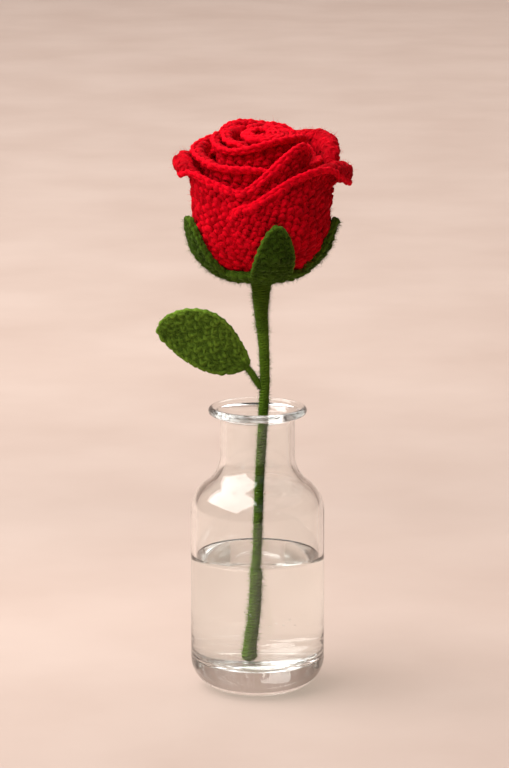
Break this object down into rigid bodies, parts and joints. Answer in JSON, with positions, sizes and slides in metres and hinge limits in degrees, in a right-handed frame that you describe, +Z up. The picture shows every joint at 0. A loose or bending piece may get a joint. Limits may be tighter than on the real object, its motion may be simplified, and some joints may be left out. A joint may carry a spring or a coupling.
{
  "type": "bud vase with flower",
  "caption": "Clear glass bottle bud vase, part filled with water, holding a crocheted rose on a wired stem that lifts out, turns, and bends at the head and leaf.",
  "frame": {"origin": "centre of the vase's foot, on the surface it stands on", "axes": "+Z up along the vase's axis; the front, where the leaf points to the left, looks along -Y; +X is to the right"},
  "size_m": [0.081, 0.066, 0.2395],
  "materials": {
    "glass": "gloss",
    "water": "gloss",
    "wire": "satin",
    "stem_yarn": "matte",
    "leaf_yarn": "matte",
    "sepal_yarn": "matte",
    "stuffing": "matte",
    "petal_yarn": "matte"
  },
  "bodies": {
    "vase": {"glass_vase": "glass"},
    "water": {"water": "water"},
    "stem": {"stem_wire": "wire", "stem_wrap": "stem_yarn"},
    "leaf": {"leaf": "leaf_yarn", "leaf_wire": "wire", "leaf_stalk_wrap": "stem_yarn"},
    "flower": {"head_wire": "wire", "neck_binding": "stem_yarn", "calyx_cup": "sepal_yarn", "sepal_front": "sepal_yarn", "sepal_right": "sepal_yarn", "sepal_back": "sepal_yarn", "sepal_left": "sepal_yarn", "head_stuffing": "stuffing", "bud": "petal_yarn", "inner_petal_1": "petal_yarn", "inner_petal_2": "petal_yarn", "inner_petal_3": "petal_yarn", "middle_petal_1": "petal_yarn", "middle_petal_2": "petal_yarn", "middle_petal_3": "petal_yarn", "outer_petal_1": "petal_yarn", "outer_petal_2": "petal_yarn", "outer_petal_3": "petal_yarn"}
  },
  "joints": [
    {"name": "rose_turn", "type": "hinge", "parent": "vase", "child": "water", "pos_m": [0, 0, 0.0585], "axis": [0, 0, 1], "continuous": true},
    {"name": "rose_lift", "type": "slide", "parent": "water", "child": "stem", "axis": [0, 0, 1], "range_m": [0, 0.12], "deforming": ["water"]},
    {"name": "head_nod", "type": "hinge", "parent": "stem", "child": "flower", "pos_m": [0.0015, 0, 0.163], "axis": [1, 0, 0], "range_deg": [-25, 25]},
    {"name": "leaf_bend", "type": "hinge", "parent": "stem", "child": "leaf", "pos_m": [-0.0009, 0, 0.134], "axis": [0, 1, 0], "range_deg": [-20, 20]}
  ]
}
